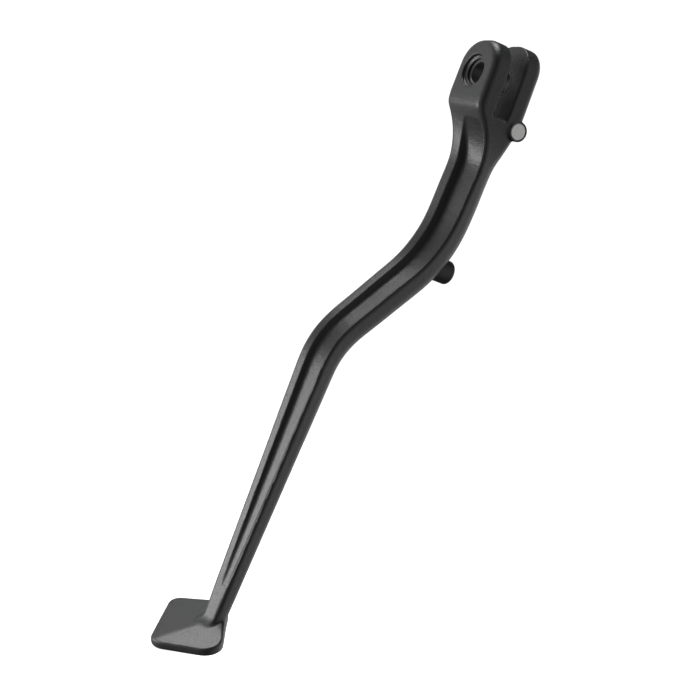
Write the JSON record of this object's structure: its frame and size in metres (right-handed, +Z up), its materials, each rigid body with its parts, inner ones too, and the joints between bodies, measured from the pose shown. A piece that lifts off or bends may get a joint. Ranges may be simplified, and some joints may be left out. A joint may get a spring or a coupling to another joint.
{
  "type": "motorcycle kickstand",
  "caption": "Black forged kickstand leg for a motorcycle: slotted fork with bushed pivot bore, S-bent channelled leg, spring post, switch magnet and slanted foot plate.",
  "frame": {"origin": "on the pivot bore's axis, half way through the fork's depth", "axes": "+Y along the pivot bore from the outboard ear to the inboard ear, +Z up the leg, +X the side the switch magnet faces"},
  "size_m": [0.0505, 0.0843, 0.314],
  "materials": {
    "black_coat": "satin black coat over a forged skin",
    "nickel": "nickel plated, satin",
    "post_steel": "black plated, satin",
    "bush_steel": "dark plain bearing steel"
  },
  "bodies": {
    "root": {"leg": "black_coat", "sensor_magnet": "nickel", "spring_post": "post_steel", "outer_pivot_bush": "bush_steel", "inner_pivot_bush": "bush_steel"}
  },
  "joints": []
}
